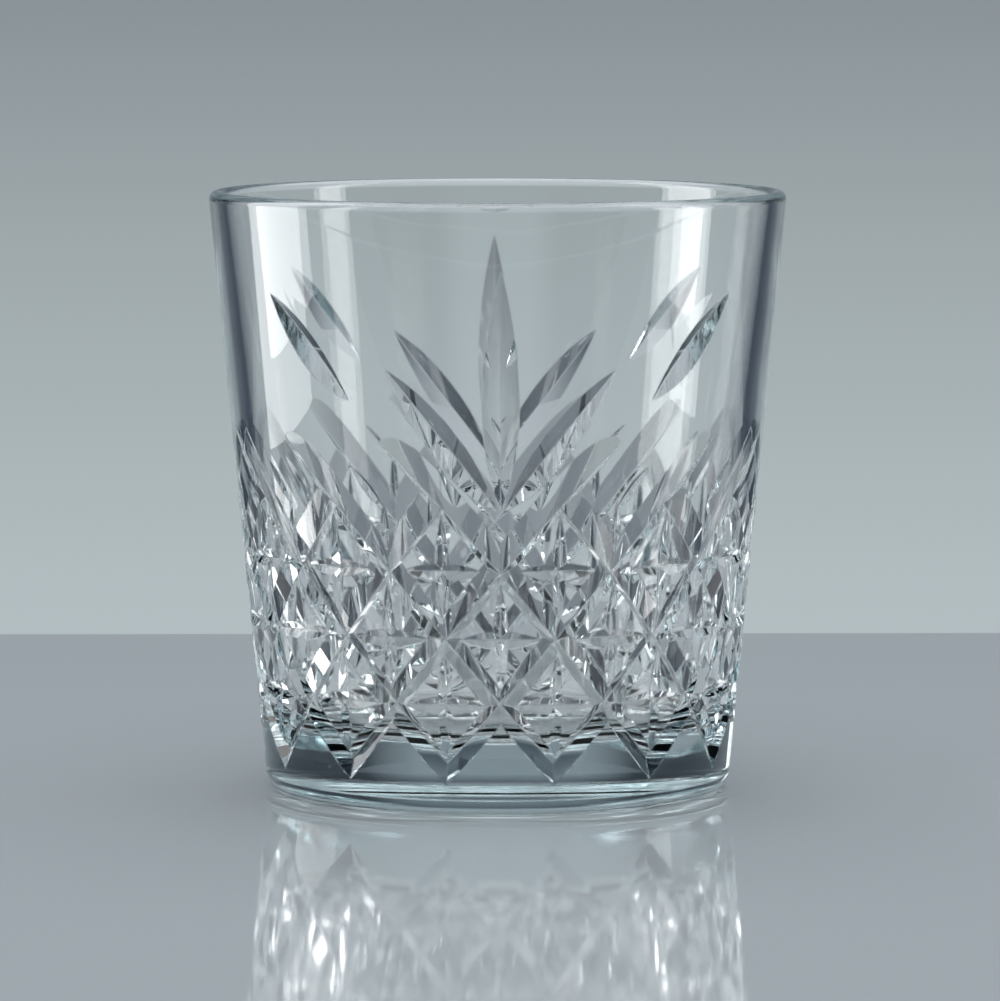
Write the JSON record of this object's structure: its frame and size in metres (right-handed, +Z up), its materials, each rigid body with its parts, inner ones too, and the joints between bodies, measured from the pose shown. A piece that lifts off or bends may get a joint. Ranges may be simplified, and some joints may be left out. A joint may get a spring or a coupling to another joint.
{
  "type": "whiskey tumbler",
  "caption": "Short clear pressed-glass tumbler with a slight taper, a thick base, a rounded rim and a cut-style lattice of grooves, stars and leaf fans.",
  "frame": {"origin": "centre of the ring that the glass stands on, on the table plane", "axes": "+Z up along the axis of the glass, out of its mouth; -Y through the middle of one of the two leaf fans"},
  "size_m": [0.0864, 0.0864, 0.09],
  "materials": {
    "clear_glass": "clear fire-polished soda-lime glass"
  },
  "bodies": {
    "root": {"tumbler": "clear_glass"}
  },
  "joints": []
}
